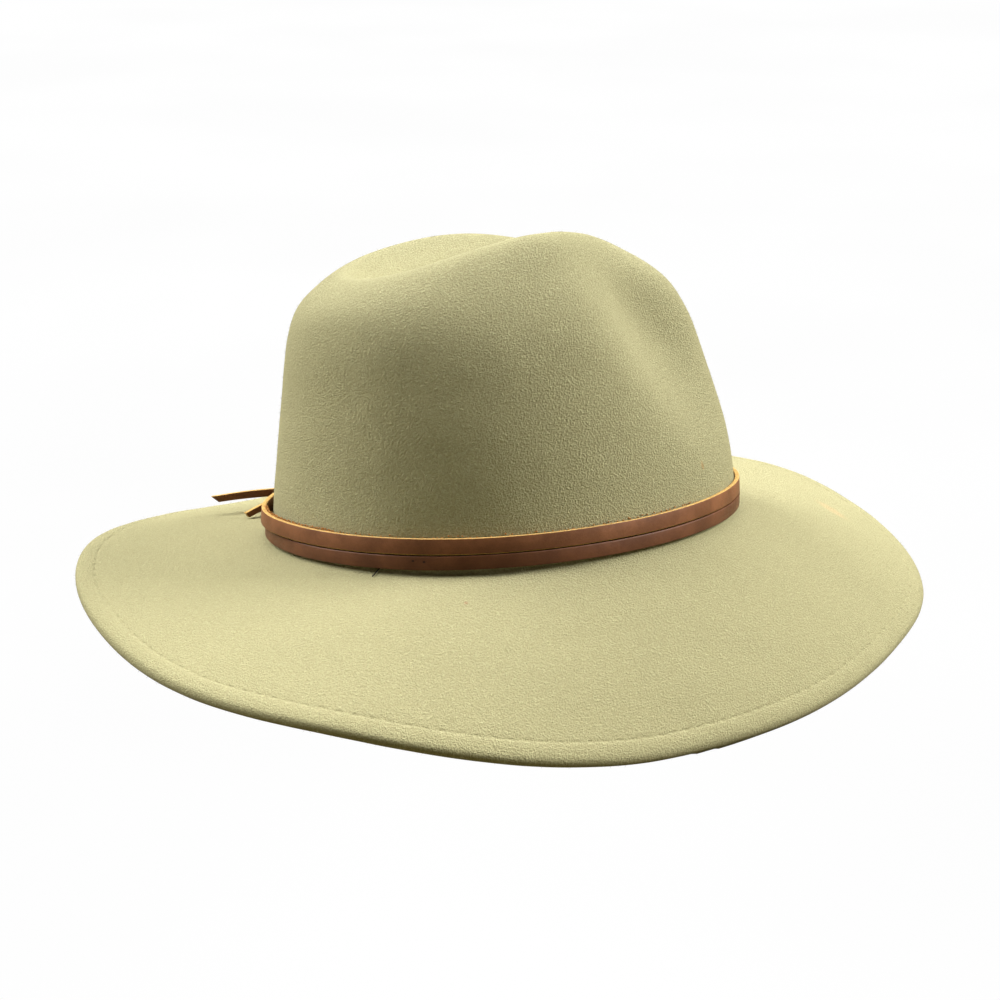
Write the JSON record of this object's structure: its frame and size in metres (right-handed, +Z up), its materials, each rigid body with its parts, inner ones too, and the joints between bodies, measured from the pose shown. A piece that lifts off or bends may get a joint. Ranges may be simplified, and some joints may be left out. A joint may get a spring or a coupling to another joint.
{
  "type": "wide-brim felt hat",
  "caption": "Wide-brim fedora of pale wool felt with a creased, pinched crown, a soft hemmed brim and a thin brown leather strap wound round the crown and tied at the back.",
  "frame": {"origin": "centre of the hat's outline seen from above, on the surface that the brim edge rests on", "axes": "+Z up, the front of the hat faces -Y and the wearer's left is +X"},
  "size_m": [0.3236, 0.3725, 0.1657],
  "materials": {
    "felt": "matte",
    "strap_leather": "satin"
  },
  "bodies": {
    "root": {"felt_body": "felt", "strap_lower_turn": "strap_leather", "strap_upper_turn": "strap_leather", "strap_knot": "strap_leather", "strap_end_long": "strap_leather", "strap_end_short": "strap_leather"}
  },
  "joints": []
}
